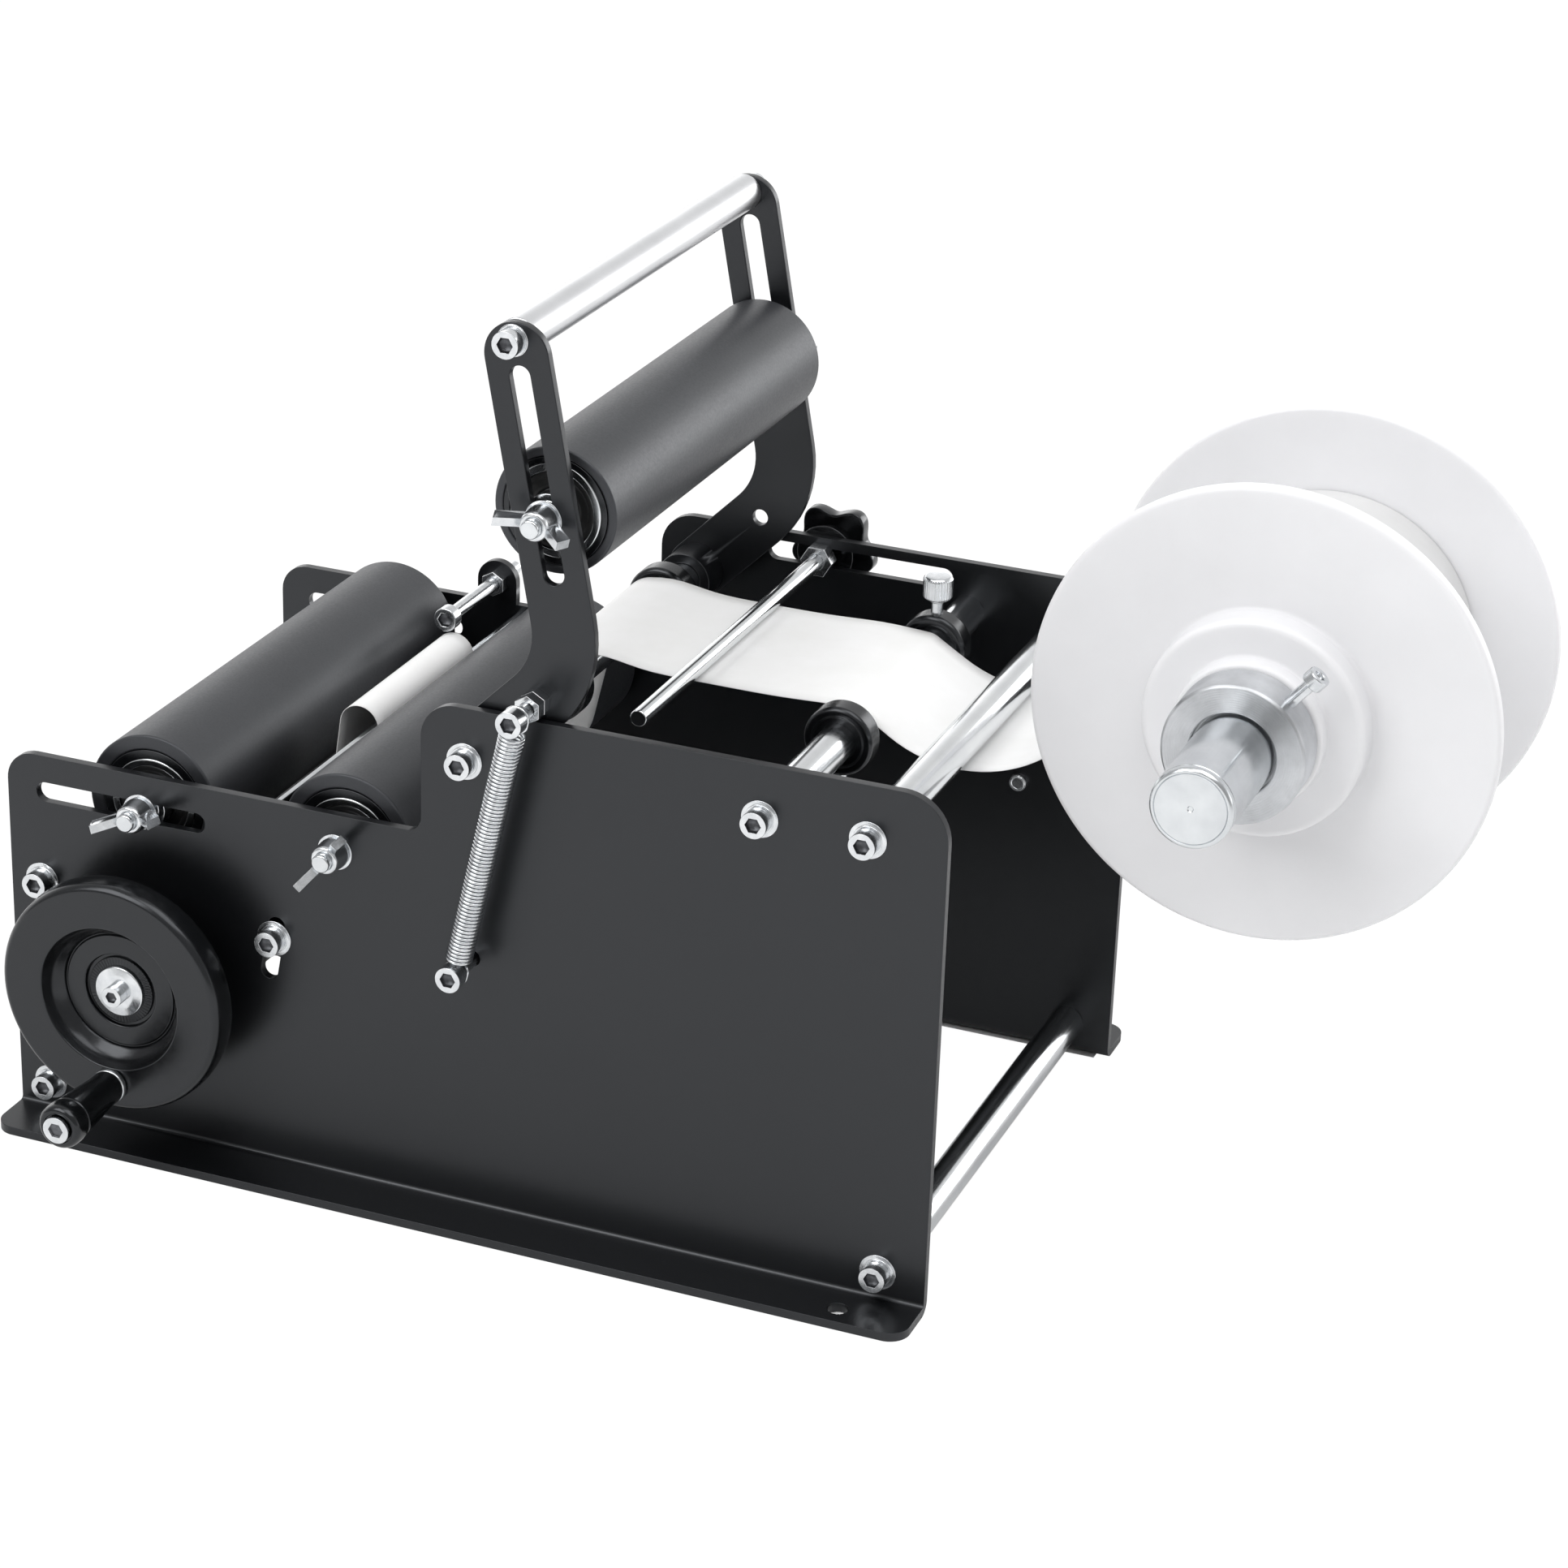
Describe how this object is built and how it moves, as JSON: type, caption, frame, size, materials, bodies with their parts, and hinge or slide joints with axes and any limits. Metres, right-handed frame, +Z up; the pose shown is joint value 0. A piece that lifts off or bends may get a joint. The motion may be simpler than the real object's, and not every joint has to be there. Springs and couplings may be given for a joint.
{
  "type": "bottle labeling machine",
  "caption": "Hand-cranked bench machine that peels labels from a web and rolls them onto bottles, with a swinging press-roller lever, bottle rollers and a label reel.",
  "frame": {"origin": "middle of the four foot holes, on the surface that the feet stand on", "axes": "+X from the bottle end towards the label reel, along the side plates; +Y from the plate with the handwheel to the other plate; +Z up"},
  "size_m": [0.4659, 0.2681, 0.2983],
  "materials": {
    "black_powder_coat": "satin black powder coat",
    "chromed_rod": "bright plated rod",
    "zinc_plated_steel": "bright zinc plate",
    "bright_steel": "ground bright steel",
    "spring_steel": "drawn bright wire",
    "turned_aluminium": "turned, with fine tool marks",
    "grey_rubber": "ground matt rubber",
    "black_plastic": "moulded, half gloss",
    "white_nylon": "milky, faintly see-through at the edges",
    "white_paper": "smooth coated label stock",
    "bush_bronze": "sintered, dull"
  },
  "bodies": {
    "frame": {"near_side_plate": "black_powder_coat", "far_side_plate": "black_powder_coat", "tie_rods": "chromed_rod", "guide_rods": "chromed_rod", "lever_pivot_shaft": "chromed_rod", "frame_screws": "zinc_plated_steel", "frame_washers": "zinc_plated_steel", "frame_nuts": "zinc_plated_steel", "peel_plate": "black_powder_coat", "reel_bracket": "black_powder_coat", "reel_shaft": "bright_steel", "label_web": "white_paper", "crank_bushes": "bush_bronze", "rear_roller_axle": "bright_steel", "rear_axle_wing_nuts": "zinc_plated_steel"},
    "front_carriage": {"front_roller_axle": "bright_steel", "front_axle_wing_nuts": "zinc_plated_steel", "front_axle_washers": "zinc_plated_steel"},
    "front_roller": {"front_roller_core": "black_plastic", "front_roller_sleeve": "grey_rubber", "front_roller_bearings": "bright_steel"},
    "rear_roller": {"rear_roller_core": "black_plastic", "rear_roller_sleeve": "grey_rubber", "rear_roller_bearings": "bright_steel"},
    "lever": {"near_lever_arm": "black_powder_coat", "far_lever_arm": "black_powder_coat", "handle_bar": "chromed_rod", "handle_screws": "zinc_plated_steel", "handle_washers": "zinc_plated_steel", "spring_stud_screw": "zinc_plated_steel", "spring_stud_nuts": "zinc_plated_steel"},
    "press_carriage": {"press_roller_axle": "bright_steel", "press_axle_wing_nuts": "zinc_plated_steel", "press_axle_washers": "zinc_plated_steel"},
    "press_roller": {"press_roller_core": "black_plastic", "press_roller_sleeve": "grey_rubber", "press_roller_bearings": "bright_steel"},
    "spring": {"lever_spring": "spring_steel"},
    "crank": {"crank_shaft": "bright_steel", "take_up_core": "turned_aluminium", "take_up_sleeve": "grey_rubber", "handwheel": "black_plastic", "handwheel_washer": "zinc_plated_steel", "crank_screws": "zinc_plated_steel"},
    "grip": {"crank_grip": "black_plastic"},
    "near_guide": {"near_web_collar": "black_plastic", "near_thumb_screw": "zinc_plated_steel"},
    "far_guide": {"far_web_collar": "black_plastic", "far_thumb_screw": "zinc_plated_steel"},
    "near_pivot_guide": {"near_pivot_collar": "black_plastic"},
    "far_pivot_guide": {"far_pivot_collar": "black_plastic"},
    "hold_down": {"hold_down_rod": "chromed_rod", "hold_down_nut": "zinc_plated_steel", "star_knob": "black_plastic"},
    "reel": {"reel_front_disc": "white_nylon", "reel_rear_disc": "white_nylon", "label_roll": "white_paper"},
    "reel_clamp": {"reel_clamp_collar": "turned_aluminium", "reel_clamp_screw": "zinc_plated_steel"},
    "bottle_stop": {"bottle_stop_screw": "zinc_plated_steel"}
  },
  "joints": [
    {"name": "lever_swing", "type": "hinge", "parent": "frame", "child": "lever", "pos_m": [0.003, 0, 0.157], "axis": [0, -1, 0], "range_deg": [0, 95], "deforming": ["lever_spring"]},
    {"name": "spring_swing", "type": "hinge", "parent": "frame", "child": "spring", "pos_m": [0.0056, -0.1066, 0.0904], "axis": [0, -1, 0], "range_deg": [0, 30]},
    {"name": "press_roller_slide", "type": "slide", "parent": "lever", "child": "press_carriage", "axis": [-0.1891, 0, 0.982], "range_m": [-0.017, 0.022]},
    {"name": "press_roller_spin", "type": "hinge", "parent": "press_carriage", "child": "press_roller", "pos_m": [0.02697, 0, 0.23835], "axis": [0, 1, 0], "continuous": true},
    {"name": "front_roller_slide", "type": "slide", "parent": "frame", "child": "front_carriage", "axis": [1, 0, 0], "range_m": [-0.032, 0.005]},
    {"name": "front_roller_spin", "type": "hinge", "parent": "front_carriage", "child": "front_roller", "pos_m": [-0.1113, 0, 0.1174], "axis": [0, 1, 0], "continuous": true},
    {"name": "rear_roller_spin", "type": "hinge", "parent": "frame", "child": "rear_roller", "pos_m": [-0.0418, 0, 0.1174], "axis": [0, 1, 0], "continuous": true},
    {"name": "crank_spin", "type": "hinge", "parent": "frame", "child": "crank", "pos_m": [-0.111, 0, 0.0614], "axis": [0, 1, 0], "continuous": true},
    {"name": "grip_spin", "type": "hinge", "parent": "crank", "child": "grip", "pos_m": [-0.111, -0.135, 0.0312], "axis": [0, 1, 0], "continuous": true},
    {"name": "near_guide_slide", "type": "slide", "parent": "frame", "child": "near_guide", "axis": [0, 1, 0], "range_m": [-0.045, 0]},
    {"name": "far_guide_slide", "type": "slide", "parent": "frame", "child": "far_guide", "axis": [0, 1, 0], "range_m": [0, 0.026]},
    {"name": "near_pivot_guide_slide", "type": "slide", "parent": "frame", "child": "near_pivot_guide", "axis": [0, 1, 0], "range_m": [-0.04, 0]},
    {"name": "far_pivot_guide_slide", "type": "slide", "parent": "frame", "child": "far_pivot_guide", "axis": [0, 1, 0], "range_m": [0, 0.011]},
    {"name": "hold_down_slide", "type": "slide", "parent": "frame", "child": "hold_down", "axis": [1, 0, 0], "range_m": [-0.009, 0.036]},
    {"name": "reel_spin", "type": "hinge", "parent": "frame", "child": "reel", "pos_m": [0.2334, 0, 0.1887], "axis": [0, 1, 0], "continuous": true},
    {"name": "reel_clamp_slide", "type": "slide", "parent": "frame", "child": "reel_clamp", "axis": [0, 1, 0], "range_m": [-0.035, 0]},
    {"name": "bottle_stop_slide", "type": "slide", "parent": "frame", "child": "bottle_stop", "axis": [0, 1, 0], "range_m": [-0.01, 0.028]}
  ],
  "couplings": [
    {"joint": "spring_swing", "follows": "lever_swing", "ratio": 0.315}
  ]
}
